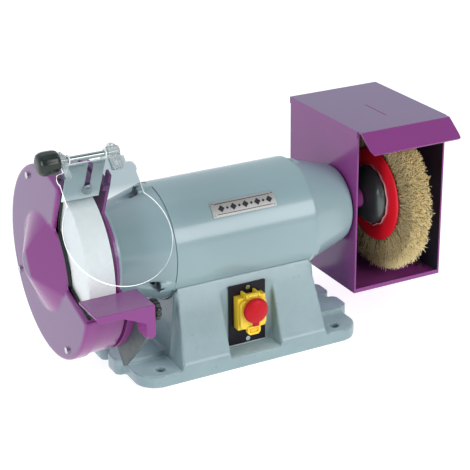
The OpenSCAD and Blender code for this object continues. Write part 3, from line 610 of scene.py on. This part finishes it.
RIM_SCREW_ANGLE = 74
screw_y, screw_z = at(COVER_R, RIM_SCREW_ANGLE)
rim_screw = ring_mesh("rim_screw", [
    (0.01, -2.6), (1.8, -2.4), (3.0, -1.5), (3.4, -0.2), (3.4, 0.5), (0.01, 0.5)], 32, "Y")
shade(rim_screw, 50.0)
rim_screw.transform(Matrix.Translation((-272 * MM, screw_y * MM, screw_z * MM))
                    @ Matrix.Rotation(math.radians(-RIM_SCREW_ANGLE), 4, "X"))
add_mesh("guard_rim_screw", rim_screw, [BLACK], BODY_OF["guard_outer_cover"])

# ---------- sheet parts with softened edges ----------

soften("guard_drum", 0.7, 2)
soften("guard_inner_wall", 0.8, 2)
soften("rest_bracket", 0.8, 2)
soften("spark_arrester", 0.5, 2)


def guard_box():
    """The brush guard's sheet box; its inner walls get a near-black paint as painted shade."""
    inner_x, inner_y, inner_z = (203.5, 363.5), (-62.5, 138.5), 54.0
    obj = soften("brush_box", 0.6, 2, mats=[PURPLE, INSIDE_SHADE])
    for poly in obj.data.polygons:
        x, y, z = (c / MM for c in poly.center)
        inside = (inner_x[0] < x < inner_x[1] and inner_y[0] < y < inner_y[1]
                  and z > inner_z)
        # Inner wall faces get the near-black paint: painted shade.
        wall = abs(poly.normal.x) > 0.9 or poly.normal.y < -0.9
        poly.material_index = 1 if inside and wall else 0


guard_box()


def painted_light_top(node, width, segments, pale):
    """Softened edges, and a level top face in a copy of the paint that carries painted light and
    shade, chosen for its look.
    """
    obj = soften(node, width, segments, mats=[PURPLE, pale])
    top = max(v.co.z for v in obj.data.vertices) - 0.05 * MM
    for poly in obj.data.polygons:
        poly.material_index = 1 if poly.center.z > top else 0


# The box's top: painted shade with a painted reflection.
painted_light_top("brush_box_top", 0.55, 2, PURPLE_SHADE_REFLECTION)
# The rest's top: painted light with a painted reflection.
painted_light_top("tool_rest", 1.1, 3, PURPLE_PAINTED_LIGHT)
soften("switch_plate", 0.6, 2)
soften("switch_housing", 0.9, 3)

# ---------- wire brush ----------

BRUSH_X = 290.0


def wires(name, count, seed, radius=0.45, steps=9):
    """Crimped wires standing out from the brush's core, each a three-sided tube."""
    g = np.random.default_rng(seed)
    turn = g.uniform(0, 2 * math.pi, count)
    side = g.uniform(-1, 1, count)
    lean = g.normal(0, 0.10, count)
    start = g.uniform(66, 84, count)
    tip = 121.5 + g.normal(0, 3.0, count)
    tip = np.clip(tip - 6.0 * np.abs(side) ** 3, 110, 127.5)
    splay = g.normal(0, 1.8, count)
    phase = g.uniform(0, 2 * math.pi, count)
    plane = g.uniform(0, 2 * math.pi, count)
    crimp = g.uniform(1.0, 2.2, count)
    wave = g.uniform(6.5, 10.5, count)
    s = np.linspace(0, 1, steps + 1)[None, :]
    r = start[:, None] + (tip - start)[:, None] * s
    frac = (r - 70) / 52
    x = BRUSH_X + side[:, None] * (13.6 + 4.6 * np.clip(frac, 0, 1)) + splay[:, None] * s ** 2
    off = crimp[:, None] * np.sin(2 * math.pi * r / wave[:, None] + phase[:, None])
    x = x + off * np.cos(plane)[:, None]
    angle = turn[:, None] + lean[:, None] * s + off * np.sin(plane)[:, None] / r
    path = np.stack([x, r * np.cos(angle), AXIS_H + r * np.sin(angle)], axis=2)
    radial = np.stack([np.zeros_like(angle), np.cos(angle), np.sin(angle)], axis=2)
    along_x = np.zeros_like(radial)
    along_x[:, :, 0] = 1
    tangent = np.cross(radial, along_x)
    rings = []
    for k in range(3):
        q = 2 * math.pi * k / 3
        rings.append(path + radius * (math.cos(q) * along_x + math.sin(q) * tangent))
    verts = np.stack(rings, axis=2).reshape(-1, 3) * MM
    per = (steps + 1) * 3
    base = np.arange(count)[:, None, None] * per
    i = np.arange(steps)[None, :, None] * 3
    k = np.arange(3)[None, None, :]
    k2 = (k + 1) % 3
    quads = np.stack([base + i + k, base + i + k2, base + i + 3 + k2, base + i + 3 + k],
                     axis=3).reshape(-1, 4)
    caps = np.concatenate([(np.arange(count)[:, None] * per + np.array([[2, 1, 0]])),
                           (np.arange(count)[:, None] * per + steps * 3
                            + np.array([[0, 1, 2]]))])
    me = bpy.data.meshes.new(name)
    me.vertices.add(len(verts))
    me.vertices.foreach_set("co", verts.ravel())
    loops = np.concatenate([quads.ravel(), caps.ravel()])
    me.loops.add(len(loops))
    me.loops.foreach_set("vertex_index", loops)
    sizes = np.concatenate([np.full(len(quads), 4), np.full(len(caps), 3)])
    starts = np.concatenate([[0], np.cumsum(sizes)[:-1]])
    me.polygons.add(len(sizes))
    me.polygons.foreach_set("loop_start", starts)
    me.polygons.foreach_set("loop_total", sizes)
    me.polygons.foreach_set("use_smooth", np.ones(len(sizes), bool))
    me.update(calc_edges=True)
    me.validate()
    return me


WIRE_COUNT, WIRE_SEED = 9000, 11
add_mesh("brush_wires", wires("brush_wires", WIRE_COUNT, WIRE_SEED), [BRASS], "spindle",
         ("brush_bristles",))


def core_wobble(a, r, t):
    return 1.2 * math.sin(23 * a + t) + 0.9 * math.sin(41 * a + 0.7 * r) if r > 80 else 0.0


# Solid core for the inner wires, in the darker brass: painted shade among the wires.
add_mesh("brush_core", ring_mesh("brush_core", [
    (31, BRUSH_X - 11), (72, BRUSH_X - 12.5), (96, BRUSH_X - 13.5), (112, BRUSH_X - 14),
    (116, BRUSH_X - 8), (117, BRUSH_X), (116, BRUSH_X + 8), (112, BRUSH_X + 14),
    (96, BRUSH_X + 13.5), (72, BRUSH_X + 12.5), (31, BRUSH_X + 11)], 180,
    centre=(0.0, AXIS_H), wobble=core_wobble), [BRASS_CORE_SHADE], "spindle")


def brush_side(profile, segments=128, crisp=45.0, wobble=None):
    """The same ring on both sides of the brush; profile is [radius, distance from the middle]."""
    me = merged("sides", [
        ring_mesh("side", [(r, BRUSH_X + s * t) for r, t in profile], segments,
                  centre=(0.0, AXIS_H), wobble=wobble) for s in (-1, 1)])
    shade(me, crisp)
    return me


add_mesh("brush_ring_pressings", brush_side([
    (30, 13.2), (74, 15.2), (75.3, 15.8), (75.2, 16.8), (73.6, 18.0), (68, 19.8), (60, 20.9),
    (54, 20.9), (50.5, 19.6), (49, 18.2), (40, 18.1), (30, 16.0)]), [RED_METAL],
    BODY_OF["brush_rings"], ("brush_rings",))
add_mesh("brush_cup_domes", brush_side([
    (10.0, 18.3), (43.0, 18.3), (45.6, 19.2), (46.6, 21.2), (46.2, 24.4), (44.4, 28.2),
    (40.8, 32.2), (35.4, 35.6), (28.0, 38.6), (19.6, 40.6), (10.0, 41.0)]), [CUP],
    BODY_OF["brush_cups"], ("brush_cups",))


def liner_wave(a, r, t):
    return 1.1 * math.sin(13 * a)


add_mesh("brush_liner_rings", brush_side([
    (48.6, 18.2), (50.0, 18.6), (50.2, 20.6), (49.2, 21.4), (48.1, 20.4)], 180, 70.0,
    liner_wave), [LINER], "spindle")

# ---------- switch ----------

LID_Y = -97.5
PAD_Z = 88.0


def estop_lid():
    """Lid plate with the hole for the pad's stem, its hinge knuckle and its latch."""
    face = rounded_outline([(-22, 62), (-16, 57), (16, 57), (22, 62), (22, 98), (16, 103),
                            (-16, 103), (-22, 98)], 3.0)
    stem_r = 8.2
    stem = [(stem_r * math.cos(a), PAD_Z + stem_r * math.sin(a))
            for a in np.linspace(0, 2 * math.pi, 33)[:-1]]
    plate = slab(face, LID_Y - 5.5, LID_Y, holes=[stem], edge=1.0)
    arm = slab(rounded_outline([(-8, 101), (8, 101), (8, 110.5), (-8, 110.5)], 2.0),
               LID_Y - 5.0, LID_Y - 0.4, edge=1.0)
    knuckle = ring_mesh("knuckle", [(0.01, -8), (3.2, -8), (4, -7.2), (4, 7.2), (3.2, 8),
                                    (0.01, 8)], 32, centre=(-99.5, 108))
    tab = rounded_outline([(-11, 60), (-11, 50), (-7, 46), (7, 46), (11, 50), (11, 60)], 3.0)
    slot = rounded_outline([(-7.5, 57.5), (-7.5, 51.5), (-5.5, 49.5), (5.5, 49.5), (7.5, 51.5),
                            (7.5, 57.5)], 1.6)
    latch = slab(tab, LID_Y - 7.5, LID_Y - 1.0, holes=[slot], edge=0.9)
    floor = slab(rounded_outline([(-9, 58), (-9, 48), (9, 48), (9, 58)], 1.5),
                 LID_Y - 4.6, LID_Y - 1.4, edge=0.3)
    bar = slab(rounded_outline([(-5.6, 54.6), (-5.6, 52.2), (5.6, 52.2), (5.6, 54.6)], 1.1),
               LID_Y - 6.8, LID_Y - 4.0, edge=0.5)
    return merged("lid", [plate, arm, knuckle, latch, floor, bar])


add_mesh("estop_lid_moulding", estop_lid(), [YELLOW], "switch_lid",
         ("estop_lid",))


def stop_mushroom():
    """Round pad with its stem through the lid and the tail above the latch."""
    y = LID_Y - 5.5
    head = ring_mesh("head", [(0.01, y - 4.0), (18.4, y - 4.0), (19.8, y - 5.2), (20, y - 7.5),
                              (19.4, y - 9.6), (17.6, y - 11.6), (14, y - 13.2), (8, y - 14.4),
                              (0.01, y - 14.9)], 72, "Y", (0.0, PAD_Z))
    stem = ring_mesh("stem", [(0.01, LID_Y + 0.8), (7.8, LID_Y + 0.8), (7.8, y - 5),
                              (0.01, y - 5)], 40, "Y", (0.0, PAD_Z))
    tail = slab(rounded_outline([(-7.5, 74), (7.5, 74), (4.8, 66), (5.2, 62.6), (-5.2, 62.6),
                                 (-4.8, 66)], 1.2), y - 9.4, y - 4.4, edge=1.2)
    return merged("pad", [head, stem, tail])


pad_mesh = stop_mushroom()
shade(pad_mesh, 50.0)
add_mesh("stop_pad_moulding", pad_mesh, [RED], "stop_pad", ("stop_pad",))

# ---------- knobs ----------

ROD_Y, ROD_Z = -92.0, 371.0


def knob_flutes(a, r, t):
    return -0.35 * (0.5 + 0.5 * math.cos(14 * a)) if r > 15.5 else 0.0


shield_knob = ring_mesh("shield_knob", [
    (4.05, -291.4), (9.5, -291.4), (13.2, -292.4), (15.7, -294.8), (16.7, -298.5),
    (17.0, -304.0), (16.9, -311.0), (16.2, -316.5), (14.2, -320.6), (10.5, -322.6),
    (5.5, -323.0), (0.01, -323.0), (0.01, -318.6), (4.05, -318.6)], 112,
    centre=(ROD_Y, ROD_Z), wobble=knob_flutes)
shade(shield_knob, 50.0)
add_mesh("shield_knob_moulding", shield_knob, [RUBBER], "shield_knob",
         ("shield_knob",))


def grip_lobes(a, r, t):
    return -1.5 * (0.5 + 0.5 * math.cos(10 * a)) ** 2 if r > 13 else 0.0


rest_knob = ring_mesh("rest_knob", [
    (4.1, -199.1), (9.2, -199.1), (9.8, -198.2), (9.8, -195.6), (13.6, -195.4),
    (15.4, -194.2), (16.2, -192.2), (16.3, -188.0), (15.4, -185.6), (13.4, -184.2),
    (7.6, -184.1), (6.6, -184.8), (5.4, -185.2), (4.1, -185.2)], 128,
    centre=(-163.0, 157.0), wobble=grip_lobes)
shade(rest_knob, 50.0)
add_mesh("rest_knob_moulding", rest_knob, [RUBBER], "rest_knob", ("rest_knob",))

# ---------- eye shield and clips ----------


def eye_shield():
    """Clear sheet whose cut edge is slightly self-lit, so that it shows as a bright line."""
    me = baked(cad_copy("eye_shield"), [("BEVEL", dict(
        width=0.5 * MM, segments=2, limit_method="ANGLE", angle_limit=math.radians(40),
        use_clamp_overlap=False))])
    shade(me, 40.0)
    obj = add_mesh("eye_shield_sheet", me, [CLEAR, CLEAR_EDGE], "eye_shield",
                   ("eye_shield",))
    flat = Vector((0, -math.sqrt(0.5), math.sqrt(0.5)))
    for poly in obj.data.polygons:
        poly.material_index = 0 if abs(poly.normal.dot(flat)) > 0.8 else 1


eye_shield()


def rib(x, z0, z1):
    """Outline of one narrow rib, 1.4 mm wide."""
    return rounded_outline([(x - 0.7, z0), (x + 0.7, z0), (x + 0.7, z1), (x - 0.7, z1)], 0.6)


def shield_clip(x0, x1):
    """Snap ring on the rod with a ribbed finger tab over the sheet."""
    width, mid = x1 - x0, (x0 + x1) / 2
    parts = [ring_mesh("ring", [(4.05, x0), (7.3, x0), (7.9, x0 + 0.7), (7.9, x1 - 0.7),
                                (7.3, x1), (4.05, x1)], 48)]
    for side in (-1, 1):
        parts.append(slab(rounded_outline([(x0, -5), (x1, -5), (x1, -26), (x0, -26)], 2.0),
                          side * 1.6, side * 4.4, edge=0.5))
    count = 3 if width < 12 else 5
    for i in range(count):
        parts.append(slab(rib(x0 + width * (i + 0.5) / count, -6, -30), -6.0, -4.2, edge=0.3))
    fan = [(mid + width / 2 * math.cos(a), 4 + 9.5 * math.sin(a))
           for a in np.linspace(0, math.pi, 15)]
    parts.append(slab(fan, -1.6, 1.6, edge=0.5))
    for i in (-1, 0, 1):
        parts.append(slab(rib(mid + i * width * 0.27, 5, 12.2 - 2.2 * abs(i)), -2.8, 2.8,
                          edge=0.4))
    me = merged("clip", parts)
    me.transform(Matrix.Translation((0, ROD_Y * MM, ROD_Z * MM))
                 @ Matrix.Rotation(math.radians(-45), 4, "X"))
    return me


for side_name, clip_x0, clip_x1 in (("left", -291.0, -282.0), ("right", -221.0, -204.0)):
    add_mesh("shield_clip_" + side_name, shield_clip(clip_x0, clip_x1), [CLEAR_CLIP],
             "eye_shield", ("shield_clips",))

# ---------- name plate ----------

PLATE_R = 89.9


def plate_patch(points, lift, name):
    """A thin mark laid on the name plate; points are (x, degrees above the front)."""
    bm = bmesh.new()
    low = [bm.verts.new((x, *at(PLATE_R - 0.05, a))) for x, a in points]
    top = [bm.verts.new((x, *at(PLATE_R + lift, a))) for x, a in points]
    n = len(points)
    bm.faces.new(top)
    bm.faces.new(low[::-1])
    for i in range(n):
        bm.faces.new((low[i], low[(i + 1) % n], top[(i + 1) % n], top[i]))
    bmesh.ops.recalc_face_normals(bm, faces=bm.faces)
    return bm_mesh(bm, name)


MARK_LIFT = 0.08
LINE_HALF = 0.32
ROW_ANGLE = 40.75
marks = [plate_patch([(-43, a - LINE_HALF), (49, a - LINE_HALF), (49, a + LINE_HALF),
                      (-43, a + LINE_HALF)], MARK_LIFT, "line") for a in (35.4, 46.1)]
for i in range(9):
    x = -34 + 10 * i
    half_x, half_a = (5.4, 3.6) if i % 2 == 0 else (2.4, 1.6)
    marks.append(plate_patch([(x - half_x, ROW_ANGLE), (x, ROW_ANGLE - half_a),
                              (x + half_x, ROW_ANGLE), (x, ROW_ANGLE + half_a)],
                             MARK_LIFT, "lozenge"))
add_mesh("name_plate_pattern", merged("pattern", marks), [INK], BODY_OF["name_plate"])

# ---------- CAD nodes that keep their own shape ----------

for node_name, node_obj in NODES.items():
    node_obj.data.materials.clear()
    node_obj.data.materials.append(FINISH[SLOT_OF[node_name]])

# ---------- floor, light, camera ----------


def backdrop_material():
    mat, nodes, links, out, coord = new_material("paper_floor")
    paper = nodes.new("ShaderNodeBsdfDiffuse")
    links.new(ramp(nodes, links, noise(nodes, links, coord, 3.0),
                   [(NOISE_LOW, (0.48,) * 3), (NOISE_HIGH, (0.50,) * 3)]),
              paper.inputs["Color"])
    glow = nodes.new("ShaderNodeEmission")
    glow.inputs["Color"].default_value = (1, 1, 1, 1)
    glow.inputs["Strength"].default_value = 0.80
    total = nodes.new("ShaderNodeAddShader")
    links.new(paper.outputs["BSDF"], total.inputs[0])
    links.new(glow.outputs["Emission"], total.inputs[1])
    links.new(total.outputs["Shader"], out.inputs["Surface"])
    return mat


def staged(name, mesh, mat):
    """Something that isn't part of the object."""
    obj = linked(name, mesh)
    obj.data.materials.append(mat)
    return obj


bm = bmesh.new()
bmesh.ops.create_grid(bm, x_segments=8, y_segments=8, size=12000.0)
floor = staged("floor", bm_mesh(bm, "floor"), backdrop_material())
floor.location = (0, 0, -0.0006)

# Black discs on the floor under the holes in the foot: painted shade in the holes.
bm = bmesh.new()
for hole_x in (-150.0, 150.0):
    for hole_y in (-90.0, 90.0):
        bmesh.ops.create_circle(bm, cap_ends=True, segments=32, radius=6.9,
                                matrix=Matrix.Translation((hole_x, hole_y, -0.3)))
staged("hole_shade_discs", bm_mesh(bm, "hole_shade_discs"), INK)


def studio_world():
    """Pale surround, brighter behind the object than in front of it."""
    world = bpy.data.worlds.new("studio")
    bpy.context.scene.world = world
    world.use_nodes = True
    nodes, links = world.node_tree.nodes, world.node_tree.links
    nodes.clear()
    out = nodes.new("ShaderNodeOutputWorld")
    sky = nodes.new("ShaderNodeBackground")
    coord = nodes.new("ShaderNodeTexCoord")
    axes = nodes.new("ShaderNodeSeparateXYZ")
    level = nodes.new("ShaderNodeMapRange")
    level.interpolation_type = "SMOOTHSTEP"
    for socket, value in (("From Min", -0.35), ("From Max", 0.55), ("To Min", 0.26),
                          ("To Max", 0.95)):
        level.inputs[socket].default_value = value
    links.new(coord.outputs["Generated"], axes.inputs["Vector"])
    links.new(axes.outputs["Y"], level.inputs["Value"])
    links.new(level.outputs["Result"], sky.inputs["Strength"])
    sky.inputs["Color"].default_value = (0.86, 0.945, 1.0, 1)
    links.new(sky.outputs["Background"], out.inputs["Surface"])


studio_world()


def area(name, position, target, size, power):
    """Rectangular soft light at a position, aimed at a target."""
    light = bpy.data.lights.new(name, "AREA")
    light.shape = "RECTANGLE"
    light.size, light.size_y = size
    light.energy = power
    obj = linked(name, light)
    obj.location = position
    aim = (Vector(target) - Vector(position)).normalized()
    obj.rotation_euler = aim.to_track_quat("-Z", "Y").to_euler()


area("key_softbox", (1.35, -2.55, 1.28), (0.0, 0.0, 0.2), (2.2, 1.35), 47)
area("top_softbox", (-0.3, 0.3, 3.2), (0.0, 0.0, 0.1), (2.6, 2.6), 10)
area("left_flash", (-2.45, -1.15, 1.0), (0.0, 0.0, 0.2), (0.7, 0.7), 20)

# Camera at the photograph's own angle
CAM_AZ, CAM_EL, CAM_ROLL = math.radians(-27.88), math.radians(22.84), math.radians(-0.59)
CAM_PLACE = (-0.9662, -1.8722, 1.0569)
CAM_LENS = 114.5
back = Vector((math.sin(CAM_AZ) * math.cos(CAM_EL), -math.cos(CAM_AZ) * math.cos(CAM_EL),
               math.sin(CAM_EL)))
right = (-back).cross(Vector((0, 0, 1))).normalized()
up = right.cross(-back).normalized()
rolled_right = right * math.cos(CAM_ROLL) + up * math.sin(CAM_ROLL)
rolled_up = -right * math.sin(CAM_ROLL) + up * math.cos(CAM_ROLL)
cam_data = bpy.data.cameras.new("camera")
cam_data.lens = CAM_LENS
cam_data.sensor_width = 36.0
cam = linked("camera", cam_data)
turn = Matrix((rolled_right, rolled_up, back)).transposed()
cam.matrix_world = Matrix.Translation(CAM_PLACE) @ turn.to_4x4()
bpy.context.scene.camera = cam
bpy.context.scene.view_settings.view_transform = "Standard"
